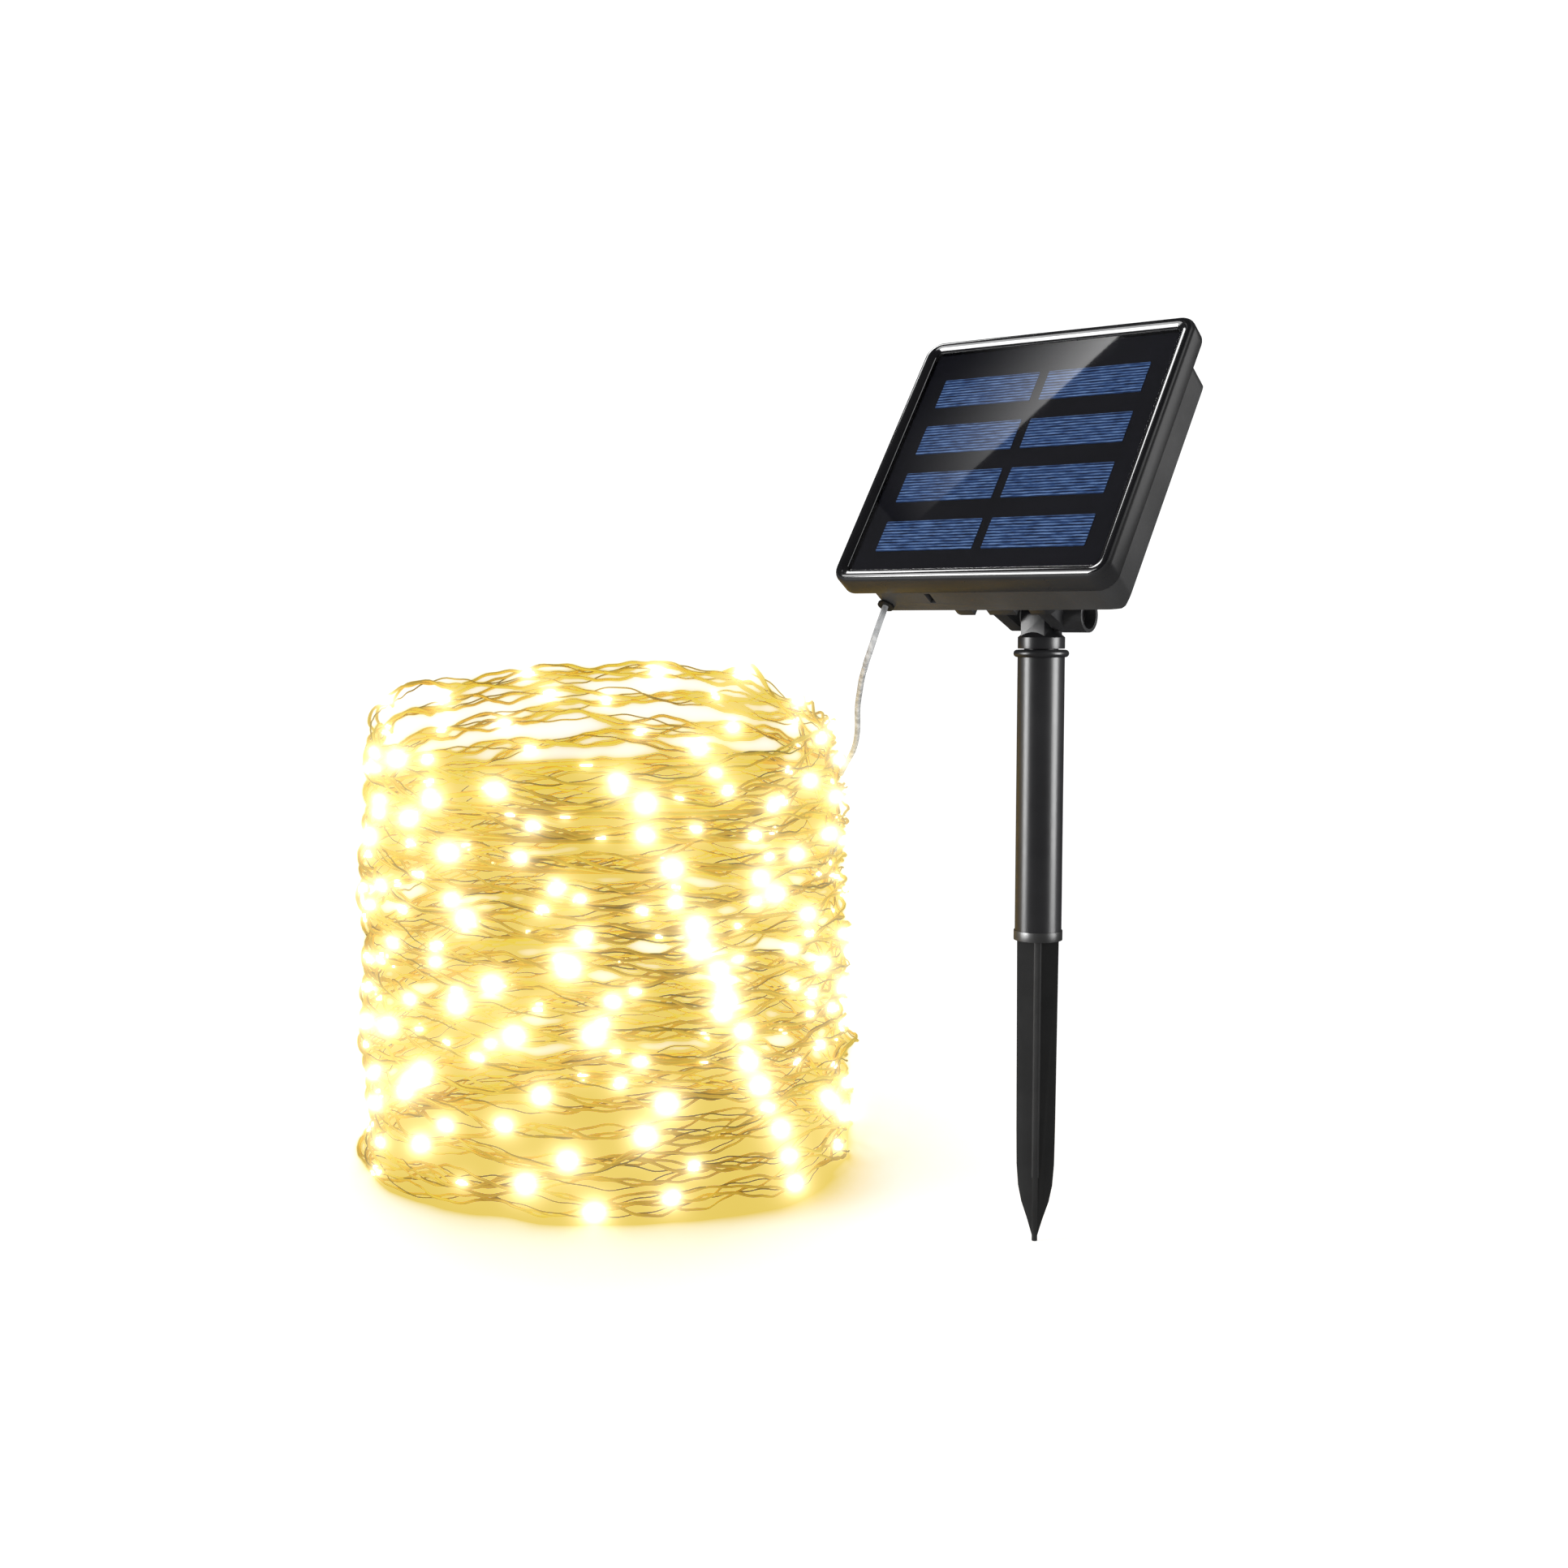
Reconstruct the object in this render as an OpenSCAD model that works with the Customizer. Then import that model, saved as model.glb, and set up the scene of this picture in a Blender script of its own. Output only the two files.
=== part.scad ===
// Solar string lights: a tilting solar head on a ground stake, with a long
// string of small lights wound into a coil beside it.
// Millimetres, +Z up. The origin is the stake's tip. The coil stands on z = 0.
// The head is drawn upright about the centre of its front face, with X to the
// right, Y to the back and Z up, and on_head() puts it on its hinge.

/* [Head] */
// Width and height of the square bezel
head_side = 110; // [106:1:120]
// Depth of the bezel's side
bezel_depth = 9; // [8:0.5:10]
// Depth of the whole head, front to back
head_depth = 27.5; // [27:0.5:30]
// Step from the bezel's side in to the housing's side
housing_inset = 5; // [4:0.5:6]
// Wall of the housing
wall = 2; // [1.6:0.2:2.4]
// Side of the square glass over the cells
glass_side = 100; // [98:0.5:101]
// Tilt of the head back from upright, in degrees
tilt = 35; // [0:5:90]

/* [Solar cells] */
// Number of cell columns
cell_columns = 2; // [1:1:2]
// Number of cell rows
cell_rows = 4; // [2:1:4]
// Length of one cell
cell_w = 40; // [36:0.5:41]
// Height of one cell
cell_h = 13; // [10:0.5:15]
// Distance between the middles of two columns
cell_pitch_x = 43.8; // [43:0.2:45]
// Distance between the middles of two rows
cell_pitch_z = 21.7; // [18:0.1:22]

/* [Hinge] */
// Distance of the hinge pin behind the front face
pin_back = 52; // [50:1:56]
// Distance of the hinge pin below the middle of the head
pin_drop = 34; // [32:1:35]
// Height of the hinge pin above the stake's tip
pin_height = 231; // [231:1:240]
// Radius of the hinge ears
ear_r = 5.6; // [5:0.1:5.8]

/* [Stake] */
// Outer radius of the tube
tube_r = 8.5; // [8:0.1:9]
// Height of the tube's lower end
tube_bottom = 116.5; // [110:0.5:120]
// Height of the tube's upper end
tube_top = 216; // [210:0.5:217]
// Half width of the spike's ribs at their upper end
rib_half = 7.6; // [7:0.1:8]
// Thickness of the spike's ribs
rib_t = 1.8; // [1.4:0.1:2.4]
// Turn of the spike's ribs about the stake, in degrees
rib_turn = 30; // [0:5:90]

/* [String] */
// Outer radius of the wound coil
coil_r = 104; // [100:1:108]
// Thickness of the wound coil's wall
coil_wall = 12; // [10:1:14]
// Mean height of the wound coil
coil_h = 196; // [180:1:200]
// Slant of the coil's top, in degrees
coil_slant = 11; // [0:1:12]
// Number of lights on the string
lights = 200; // [50:10:200]
// Diameter of one light bead
bead_d = 4; // [3:0.5:5]
// Diameter of the lead from the head
lead_d = 2.2; // [2:0.1:2.6]

/* [Hidden] */
$fn = 64;
housing_side = head_side - 2*housing_inset;
housing_corner = 7;
bezel_corner = 6;
glass_t = 1;
cell_t = 0.3;
board_t = 1;
tape_t = 0.4;
tray_t = 1.2;                         // floor of the tray
glass_y = 1.4;                        // front of the glass
rim_slope = 2.4;                      // width of the rim's slope down to the glass
cell_y = glass_y + glass_t;
board_y = cell_y + cell_t;
tape_y = board_y + board_t;
tray_y = tape_y + tape_t;             // front of the tray's floor
tray_back_y = tray_y + tray_t;        // back of the tray's floor
cells_drop = 2;                       // the cells sit a little low on the board
back_y = head_depth;                  // outside of the housing's back
inner_back_y = back_y - wall;
shelf_y = tray_back_y + 0.8;          // front edge of the housing's wall
boss_off = housing_side/2 - 8;        // places of the four corner bosses
boss_joint_y = 18;                    // where the tray's and housing's bosses meet

// battery bay, in the upper half of the back
bay_z = 27;
bay_w = 66;
bay_h = 26;
battery_r = 7.1;
battery_len = 50;
battery_y = 16.4;
bay_floor_y = 8;
door_w = bay_w + 10;
door_h = bay_h + 6;
door_t = 1.2;
door_screw_x = door_w/2 - 2.6;

// circuit board and buttons, in the middle of the back
pcb_y = 18.4;
pcb_t = 1.6;
pcb_w = 58;
pcb_h = 17;
pcb_z = -1;
button_x = 14;
button_z = -3;
button_r = 4.5;
button_gap = 0.35;
switch_h = 2.4;
button_travel = 0.8;

// hinge bracket, in head coordinates
base_w = 42;
base_h = 30;
base_t = 3;
ear_in = 6.5;                         // inner face of each ear, from the middle
ear_out = 12;
boss_end = 19.5;
boss_r = 6.1;
bolt_r = 2.45;
bore_r = 2.5;
head_pocket_r = 4.8;
head_pocket_depth = 6.5;
nut_r = 4.6;
nut_depth = 3.4;
washer_r = 4.5;
notch_w = 6;                          // notches in the bracket's lower edge
notch_h = 2.5;
notch_x = 8.5;

// stake head
tongue_half = 4.9;
tongue_r = 6.3;
skirt_bottom = 219.1;
skirt_top = 223.2;
plug_r = 6.2;
plug_bottom = 196;
tube_bore_r = 6.5;
collar_h = 2.7;
collar_r = 10;

// coil and lead
coil_at = [-209, -8];
coil_view = 38;                       // the coil's top rises along this bearing
bead_path_r = 102.2;
bead_step = 55.6;                     // degrees from one light to the next
bead_low = 3.5;
bead_top_gap = 5;
exit_local = [-45, 22.4, -50];        // where the lead leaves the housing
grommet_r = 2.3;

// The lead's route from the housing's wall down to the coil, in two stretches
lead_upper_route = [
    [-45, -31.9, 237], [-45, -33.9, 234.2], [-45, -36, 230.8],
    [-47, -37, 224.5], [-51.5, -34, 218.5], [-58, -28, 213]];
lead_lower_route = [
    [-58.2, -27.7, 212.8], [-66, -19, 208], [-73.5, -10, 203],
    [-85.5, 5, 195], [-95, 18, 185], [-104, 28, 177], [-113.5, 36, 170.5],
    [-122, 43.5, 165]];

// The wires inside the housing, from the lead's end to the circuit board, in
// head coordinates
inner_route = [
    [-44.8, 22.4, -46.35], [-41, 21.5, -46.35], [-36, 20.5, -44], [-32, 19, -34],
    [-27, 17.3, -22], [-22, 16.8, -12], [-19, 16.9, -8]];

// ---- shared shapes -------------------------------------------------------

// Puts head shapes on the hinge at the head's tilt
module on_head() {
    translate([0, 0, pin_height])
    rotate([-tilt, 0, 0])
    translate([0, -pin_back, pin_drop])
        children();
}

// Square of the given side with round corners, centred
module rounded_square(side, corner) {
    square([side, side - 2*corner], center = true);
    square([side - 2*corner, side], center = true);
    for (x = [-1, 1], y = [-1, 1])
        translate([x*(side/2 - corner), y*(side/2 - corner)])
            circle(corner);
}

// Rectangle with round corners, centred
module rounded_rect(w, h, corner) {
    square([w, h - 2*corner], center = true);
    square([w - 2*corner, h], center = true);
    for (x = [-1, 1], y = [-1, 1])
        translate([x*(w/2 - corner), y*(h/2 - corner)])
            circle(corner);
}

// Extrudes an outline drawn in X and Z from y0 to y1
module slab(y0, y1) {
    translate([0, y1, 0])
    rotate([90, 0, 0])
    linear_extrude(y1 - y0)
        children();
}

// A cylinder along Y from y0 to y1
module rod_y(x, z, r, y0, y1) {
    translate([x, y1, z])
    rotate([90, 0, 0])
        cylinder(h = y1 - y0, r = r);
}

// A cylinder along X from x0 to x1, at the hinge pin's height
module rod_x(r, x0, x1) {
    translate([x0, 0, 0])
    rotate([0, 90, 0])
        cylinder(h = x1 - x0, r = r);
}

// Screw with a round head of radius 2 x shank and a cross recess, driven
// towards -Y with the head's top at y
module screw(x, z, y, shank, length) {
    head_r = 1.9*shank;
    head_t = 1.3*shank;
    difference() {
        union() {
            rod_y(x, z, head_r, y - head_t, y);
            rod_y(x, z, shank, y - length, y - head_t);
        }
        for (turn = [0, 90])
            translate([x, y, z])
            rotate([0, turn, 0])
                cube([2.4*shank, shank, 0.5*shank], center = true);
    }
}

// ---- solar panel ---------------------------------------------------------

// Space above the rim's four slopes, which run down to the glass
module rim_slopes() {
    low = glass_side/2;
    high = low + rim_slope*(glass_y + 1)/glass_y;
    outline = [[-1, -high], [glass_y, -low], [glass_y, low], [-1, high]];
    intersection() {
        slab(-1, glass_y)
            rounded_square(glass_side + 2*rim_slope, 4);
        rotate([90, 0, 90])
        linear_extrude(2*head_side, center = true)
            polygon(outline);
        linear_extrude(2*head_side, center = true)
            polygon([for (p = outline) [p[1], p[0]]]);
    }
}

module front_bezel() {
    color([0.05, 0.05, 0.06])
    on_head()
    difference() {
        union() {
            difference() {
                union() {
                    slab(1, bezel_depth)
                        rounded_square(head_side, bezel_corner);
                    slab(0, 1)
                        rounded_square(head_side - 2, bezel_corner - 1);
                }
                // tray for the panel in front, pocket for the housing behind
                slab(-1, tray_y)
                    rounded_square(glass_side, 2);
                rim_slopes();
                slab(tray_back_y, bezel_depth + 1)
                    rounded_square(housing_side + 0.2, housing_corner);
            }
            at_corners()
                rod_y(0, 0, 3.2, tray_back_y - 0.5, boss_joint_y);
        }
        at_corners()
            rod_y(0, 0, 1.5, 9, boss_joint_y + 1);
        // holes for the panel's two wires
        for (x = [-1, 1])
            rod_y(x*4, 6, 1, tray_y - 1, tray_back_y + 1);
    }
}

module solar_glass() {
    color([0.10, 0.11, 0.15])
    on_head()
    slab(glass_y, glass_y + glass_t)
        rounded_square(glass_side - 0.2, 1.9);
}

module solar_cells() {
    color([0.20, 0.33, 0.60])
    on_head()
    for (i = [0:cell_columns - 1], j = [0:cell_rows - 1])
        translate([(i - (cell_columns - 1)/2)*cell_pitch_x, cell_y + cell_t/2,
                   (j - (cell_rows - 1)/2)*cell_pitch_z - cells_drop])
            cube([cell_w, cell_t, cell_h], center = true);
}

module solar_board() {
    color([0.07, 0.07, 0.09])
    on_head()
    slab(board_y, board_y + board_t)
        rounded_square(glass_side - 0.4, 1.8);
}

module panel_tape() {
    color([0.85, 0.85, 0.83])
    on_head()
    difference() {
        slab(tape_y, tray_y)
            rounded_square(glass_side - 3, 2);
        slab(tape_y - 1, tray_y + 1)
            rounded_square(glass_side - 15, 2);
    }
}

module housing_seal() {
    color([0.12, 0.12, 0.12])
    on_head()
    difference() {
        slab(tray_back_y, shelf_y)
            rounded_square(housing_side - 0.2, housing_corner - 0.1);
        slab(tray_back_y - 1, shelf_y + 1)
            rounded_square(housing_side - 2*wall, housing_corner - wall);
    }
}

// ---- housing -------------------------------------------------------------

// Outer form of the housing, its back edges cut at 45 degrees
module housing_form() {
    h = housing_side/2;
    cut = 1.5;
    outline = [[shelf_y, -h], [back_y - cut, -h], [back_y, cut - h],
               [back_y, h - cut], [back_y - cut, h], [shelf_y, h]];
    intersection() {
        slab(shelf_y, back_y)
            rounded_square(housing_side, housing_corner);
        rotate([90, 0, 90])
        linear_extrude(2*housing_side, center = true)
            polygon(outline);
        linear_extrude(2*housing_side, center = true)
            polygon([for (p = outline) [p[1], p[0]]]);
    }
}

// Where the four corner screws go
module at_corners() {
    for (x = [-1, 1], z = [-1, 1])
        translate([x*boss_off, 0, z*boss_off])
            children();
}

module rear_housing() {
    color([0.13, 0.13, 0.14])
    on_head()
    difference() {
        union() {
            difference() {
                housing_form();
                slab(shelf_y - 1, inner_back_y)
                    rounded_square(housing_side - 2*wall,
                                   housing_corner - wall);
            }
            // bosses for the corner screws
            at_corners()
                rod_y(0, 0, 3.6, boss_joint_y, inner_back_y + 0.5);
            // posts that carry the circuit board
            for (x = [-1, 1], z = [-1, 1])
                rod_y(x*(pcb_w/2 - 3), pcb_z + z*(pcb_h/2 - 3), 2,
                      pcb_y + pcb_t, inner_back_y + 0.5);
            // frame of the battery bay
            difference() {
                slab(bay_floor_y, inner_back_y + 0.5)
                    translate([0, bay_z])
                        rounded_rect(bay_w + 3, bay_h + 3, 2);
                slab(bay_floor_y - 1, back_y)
                    translate([0, bay_z])
                        rounded_rect(bay_w, bay_h, 1);
            }
            // cradle ribs under the battery
            difference() {
                for (x = [-1, 1])
                    translate([x*14 - 1, bay_floor_y, bay_z - bay_h/2 - 0.5])
                        cube([2, 6, bay_h + 1]);
                translate([-bay_w/2, battery_y, bay_z])
                rotate([0, 90, 0])
                    cylinder(h = bay_w, r = battery_r + 0.05);
            }
            // posts for the door's and the bracket's screws
            for (x = [-1, 1]) {
                rod_y(x*door_screw_x, bay_z, 2.2, 17, inner_back_y + 0.5);
                for (z = [-1, 1])
                    rod_y(x*(base_w/2 - 4), -pin_drop + z*(base_h/2 - 4), 2.4,
                          22, inner_back_y + 0.5);
            }
            // raised ring around each button
            for (x = [-1, 1])
                rod_y(x*button_x, button_z, button_r + 2, back_y - 0.5,
                      back_y + 0.8);
        }
        // opening and ledge for the battery door
        slab(inner_back_y - 1, back_y + 1)
            translate([0, bay_z])
                rounded_rect(bay_w, bay_h, 1);
        slab(back_y - door_t, back_y + 1)
            translate([0, bay_z])
                rounded_rect(door_w + 0.4, door_h + 0.4, 2.2);
        // corner screws
        at_corners() {
            rod_y(0, 0, 1.6, boss_joint_y - 1, back_y + 1);
            rod_y(0, 0, 3.1, back_y - 2.2, back_y + 1);
        }
        // door screws
        for (x = [-1, 1])
            rod_y(x*door_screw_x, bay_z, 0.8, 18, back_y + 1);
        // button bores
        for (x = [-1, 1])
            rod_y(x*button_x, button_z, button_r + button_gap,
                  inner_back_y - 1, back_y + 2);
        // bracket screws
        for (x = [-1, 1], z = [-1, 1])
            rod_y(x*(base_w/2 - 4), -pin_drop + z*(base_h/2 - 4), 1.1,
                  23, back_y + 1);
        // hole for the lead, in the lower wall
        translate([exit_local[0], exit_local[1], -housing_side/2 - 1])
            cylinder(h = wall + 2, r = grommet_r);
        // slot of the snap hook, in the lower wall
        translate([-25.2, 16, -housing_side/2 - 1])
            cube([2.4, 5.5, wall + 2]);
    }
}

module housing_screws() {
    color([0.62, 0.62, 0.64])
    on_head()
    at_corners()
        screw(0, 0, back_y - 0.2, 1.5, 16);
}

module battery_door() {
    color([0.12, 0.12, 0.13])
    on_head()
    difference() {
        union() {
            slab(back_y - door_t + 0.05, back_y)
                translate([0, bay_z])
                    rounded_rect(door_w, door_h, 2);
            // grip ribs
            for (i = [-3:3])
                translate([i*3 - 0.5, back_y - 0.2, bay_z - 6])
                    cube([1, 0.8, 12]);
        }
        for (x = [-1, 1])
            rod_y(x*door_screw_x, bay_z, 1.1, back_y - 4, back_y + 1);
    }
}

module door_seal() {
    color([0.30, 0.30, 0.30])
    on_head()
    difference() {
        slab(back_y - door_t - 1.1, back_y - door_t + 0.05)
            translate([0, bay_z])
                rounded_rect(bay_w - 0.2, bay_h - 0.2, 0.9);
        slab(back_y - door_t - 2, back_y)
            translate([0, bay_z])
                rounded_rect(bay_w - 3, bay_h - 3, 0.8);
    }
}

module door_screws() {
    color([0.62, 0.62, 0.64])
    on_head()
    for (x = [-1, 1])
        screw(x*door_screw_x, bay_z, back_y + 1.1, 0.8, 8);
}

module battery() {
    color([0.85, 0.86, 0.84])
    on_head()
    translate([-battery_len/2, battery_y, bay_z])
    rotate([0, 90, 0]) {
        cylinder(h = battery_len - 1.2, r = battery_r);
        translate([0, 0, battery_len - 1.2])
            cylinder(h = 1.2, r = 2.6);
    }
}

module battery_springs() {
    color([0.75, 0.75, 0.76])
    on_head() {
        for (x = [-1, 1])
            translate([x*(bay_w/2 - 0.6), battery_y, bay_z])
                cube([0.5, 11, 13], center = true);
        // spring rings on the negative end, contact dome on the positive end
        for (i = [0:4])
            translate([-bay_w/2 + 0.85 + i*1.42, battery_y, bay_z])
            rotate([0, 90, 0])
            rotate_extrude()
                translate([4.2 - 0.4*i, 0])
                    square([0.7, 1.42]);
        translate([battery_len/2 + 0.1, battery_y, bay_z])
        rotate([0, 90, 0])
            cylinder(h = bay_w/2 - 0.85 - battery_len/2 - 0.1, r = 1.5);
    }
}

// ---- electronics ---------------------------------------------------------

module circuit_board() {
    color([0.05, 0.35, 0.16])
    on_head()
    difference() {
        slab(pcb_y, pcb_y + pcb_t)
            translate([0, pcb_z])
                rounded_rect(pcb_w, pcb_h, 1);
        for (x = [-1, 1], z = [-1, 1])
            rod_y(x*(pcb_w/2 - 3), pcb_z + z*(pcb_h/2 - 3), 0.8, pcb_y - 1,
                  pcb_y + pcb_t + 1);
    }
}

module board_components() {
    color([0.10, 0.10, 0.10])
    on_head() {
        // controller, charger chip, choke, capacitor and wire pads
        translate([-6, pcb_y - 1.5, -5])
            cube([8, 1.5, 6]);
        translate([8, pcb_y - 1.2, 0])
            cube([4, 1.2, 3]);
        rod_y(-16, 1, 3.5, pcb_y - 4.5, pcb_y);
        rod_y(19, -2, 2.5, pcb_y - 7, pcb_y);
        for (i = [0:3])
            translate([-20 + 12*i, pcb_y - 0.6, -8])
                cube([2, 0.6, 1]);
    }
}

module tact_switches() {
    color([0.20, 0.20, 0.21])
    on_head()
    for (x = [-1, 1])
        translate([x*button_x, 0, button_z]) {
            translate([-3, pcb_y + pcb_t, -3])
                cube([6, switch_h - 0.4, 6]);
            rod_y(0, 0, 1.7, pcb_y + pcb_t, pcb_y + pcb_t + switch_h);
        }
}

// Button cap with a stem, at side -1 or 1
module button(side) {
    on_head()
    translate([side*button_x, 0, button_z]) {
        rod_y(0, 0, button_r, inner_back_y - 1, back_y + 2);
        rod_y(0, 0, button_r + 1.3, inner_back_y - 1.2, inner_back_y - 0.1);
        rod_y(0, 0, 1.6, pcb_y + pcb_t + switch_h + button_travel + 0.05,
              inner_back_y - 1);
    }
}

module power_button() {
    color([0.75, 0.10, 0.08])
        button(-1);
}

module mode_button() {
    color([0.35, 0.36, 0.38])
        button(1);
}

module panel_wires() {
    color([0.70, 0.10, 0.10])
    on_head()
    for (x = [-1, 1]) {
        rod_y(x*4, 6, 0.6, board_y + board_t, pcb_y);
        translate([0, x*0.75, 0])
            tube(inner_route, 0.6, 6, 2);
    }
}

module lead_grommet() {
    color([0.10, 0.10, 0.10])
    on_head()
    translate(exit_local)
    difference() {
        union() {
            translate([0, 0, -0.8])
                cylinder(h = 0.8, r = grommet_r + 0.7);
            cylinder(h = wall, r = grommet_r - 0.05);
            translate([0, 0, wall])
                cylinder(h = 0.8, r = grommet_r + 0.7);
        }
        translate([0, 0, -2])
            cylinder(h = wall + 4, r = lead_d/2 + 0.05);
    }
}

// ---- hinge ---------------------------------------------------------------

// Everything on the hinge pin, drawn about the pin
module on_pin() {
    translate([0, pin_back, -pin_drop])
        children();
}

// Side outline of one ear in Y and Z, about the pin
module ear_outline(r) {
    reach = pin_back - back_y - base_t;
    circle(r);
    polygon([[0, r], [0, -r], [-reach, -r - 4], [-reach, r + 4]]);
}

module ear(x0, x1, r) {
    translate([x0, 0, 0])
    rotate([90, 0, 90])
    linear_extrude(x1 - x0)
        ear_outline(r);
}

module hinge_bracket() {
    color([0.14, 0.14, 0.15])
    on_head()
    difference() {
        union() {
            slab(back_y, back_y + base_t)
                translate([0, -pin_drop])
                    rounded_rect(base_w, base_h, 4);
            on_pin() {
                ear(-ear_out, -ear_in, ear_r);
                ear(ear_in, ear_out, ear_r);
                rod_x(boss_r, ear_out - 3, boss_end);
            }
        }
        on_pin() {
            rod_x(bore_r, -20, 30);
            rod_x(head_pocket_r, boss_end - head_pocket_depth, boss_end + 1);
            translate([-ear_out - 1, 0, 0])
            rotate([0, 90, 0])
                cylinder(h = nut_depth + 1, r = nut_r, $fn = 6);
        }
        for (x = [-1, 1], z = [-1, 1])
            rod_y(x*(base_w/2 - 4), -pin_drop + z*(base_h/2 - 4), 1.6,
                  back_y - 1, back_y + base_t + 1);
        // notches in the lower edge
        for (x = [-1, 1])
            translate([x*notch_x - notch_w/2, back_y - 1,
                       -pin_drop - base_h/2 - 1])
                cube([notch_w, base_t + 2, notch_h + 1]);
    }
}

module bracket_screws() {
    color([0.62, 0.62, 0.64])
    on_head()
    for (x = [-1, 1], z = [-1, 1])
        screw(x*(base_w/2 - 4), -pin_drop + z*(base_h/2 - 4),
              back_y + base_t + 1.45, 1.1, 7);
}

module hinge_bolt() {
    bolt_head = boss_end - head_pocket_depth;
    color([0.70, 0.70, 0.72])
    on_head()
    on_pin()
    difference() {
        union() {
            rod_x(bolt_r, -ear_out + 0.4, bolt_head);
            rod_x(4.2, bolt_head, bolt_head + 2.6);
        }
        for (turn = [0, 90])
            translate([bolt_head + 2.6, 0, 0])
            rotate([turn, 0, 0])
                cube([1.6, 5, 1], center = true);
    }
}

module hinge_nut() {
    color([0.70, 0.70, 0.72])
    on_head()
    on_pin()
    translate([-ear_out + 0.1, 0, 0])
    rotate([0, 90, 0])
    difference() {
        cylinder(h = nut_depth - 0.1, r = nut_r - 0.1, $fn = 6);
        translate([0, 0, -1])
            cylinder(h = nut_depth + 2, r = bore_r);
    }
}

module friction_washers() {
    gap = 0.07;
    color([0.55, 0.55, 0.55])
    on_head()
    on_pin()
    difference() {
        union() {
            rod_x(washer_r, tongue_half + gap, ear_in);
            rod_x(washer_r, -ear_in, -tongue_half - gap);
        }
        rod_x(bore_r, -20, 20);
    }
}

// ---- stake ---------------------------------------------------------------

module stake_head() {
    color([0.16, 0.16, 0.17])
    difference() {
        union() {
            // plug, skirt and shoulders
            rotate_extrude()
                polygon([[0, plug_bottom], [plug_r - 1, plug_bottom],
                         [plug_r, plug_bottom + 1.5],
                         [plug_r, skirt_bottom], [tube_r, skirt_bottom],
                         [tube_r, skirt_top], [tongue_half, skirt_top + 3],
                         [0, skirt_top + 3]]);
            // tongue
            translate([0, 0, pin_height])
                rod_x(tongue_r, -tongue_half, tongue_half);
            translate([-tongue_half, -tongue_r, skirt_top - 1])
                cube([2*tongue_half, 2*tongue_r,
                      pin_height - skirt_top + 1]);
        }
        translate([0, 0, pin_height])
            rod_x(bore_r, -20, 20);
        // groove for the friction ring
        rotate_extrude()
            translate([plug_r - 0.8, 203])
                square([2, 2.2]);
    }
}

module plug_ring() {
    color([0.08, 0.08, 0.08])
    rotate_extrude()
        translate([plug_r - 0.8, 203.05])
            square([tube_bore_r - plug_r + 0.75, 2.1]);
}

module tube_collar() {
    color([0.18, 0.18, 0.19])
    rotate_extrude()
        translate([0, tube_top]) {
            translate([tube_bore_r, 0])
                square([collar_r - tube_bore_r - collar_h/2, collar_h]);
            translate([collar_r - collar_h/2, collar_h/2])
                circle(collar_h/2);
        }
}

module stake_tube() {
    color([0.22, 0.22, 0.23])
    difference() {
        translate([0, 0, tube_bottom])
            cylinder(h = tube_top - tube_bottom, r = tube_r);
        translate([0, 0, tube_bottom - 1])
            cylinder(h = tube_top - tube_bottom + 2, r = tube_bore_r);
    }
}

// Half outline of the spike, from its tip up to the flange
function spike_outline(top) = [
    [0, 0], [1.05, 0], [1.05, 2], [3, 8.7], [5.1, 15], [6.3, 21], [6.9, 29],
    [7.1, 42], [rib_half, top], [0, top]];

module ground_spike() {
    flange_bottom = tube_bottom - 3.5;
    color([0.10, 0.10, 0.11]) {
        intersection() {
            rotate_extrude()
                polygon(spike_outline(flange_bottom));
            rotate([0, 0, rib_turn])
                for (turn = [0, 90])
                    rotate([0, 0, turn])
                    translate([-10, -rib_t/2, -1])
                        cube([20, rib_t, flange_bottom + 2]);
        }
        // core, flange and plug
        translate([0, 0, 24])
            cylinder(h = flange_bottom - 24, r = 1.6);
        cylinder(h = 2.4, r = 1.05);
        translate([0, 0, flange_bottom])
            cylinder(h = 3.5, r = 8.9);
        translate([0, 0, tube_bottom])
            cylinder(h = 14, r = tube_bore_r - 0.05);
    }
}

// ---- string --------------------------------------------------------------

// Point of a smooth curve through p1 and p2, at t from 0 to 1
function smooth(p0, p1, p2, p3, t) =
    0.5*(2*p1 + t*(p2 - p0) + t*t*(2*p0 - 5*p1 + 4*p2 - p3)
         + t*t*t*(3*p1 - p0 - 3*p2 + p3));

function at(p, i) = p[max(0, min(len(p) - 1, i))];

// The route with steps points between each two given ones
function curve(p, steps) = concat(
    [for (i = [0:len(p) - 2], k = [0:steps - 1])
        smooth(at(p, i - 1), p[i], p[i + 1], at(p, i + 2), k/steps)],
    [p[len(p) - 1]]);

function unit(v) = v/norm(v);

function tube_ring(c, i, r, sides) =
    let (ahead = unit(at(c, i + 1) - at(c, i - 1)),
         side = unit(cross(ahead, [0, 1, 0.3])),
         up = cross(side, ahead))
    [for (k = [0:sides - 1])
        c[i] + r*(cos(360*k/sides)*side + sin(360*k/sides)*up)];

// A round tube along the route
module tube(p, r, sides = 8, steps = 2) {
    c = curve(p, steps);
    n = len(c);
    points = [for (i = [0:n - 1]) each tube_ring(c, i, r, sides)];
    walls = [for (i = [0:n - 2], k = [0:sides - 1])
        let (a = i*sides + k, b = i*sides + (k + 1) % sides)
        [a, b, b + sides, a + sides]];
    first = [for (k = [sides - 1:-1:0]) k];
    last = [for (k = [0:sides - 1]) (n - 1)*sides + k];
    polyhedron(points, concat([first], walls, [last]), convexity = 6);
}

module lead_upper() {
    color([0.80, 0.82, 0.84])
        tube(lead_upper_route, lead_d/2);
}

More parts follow.
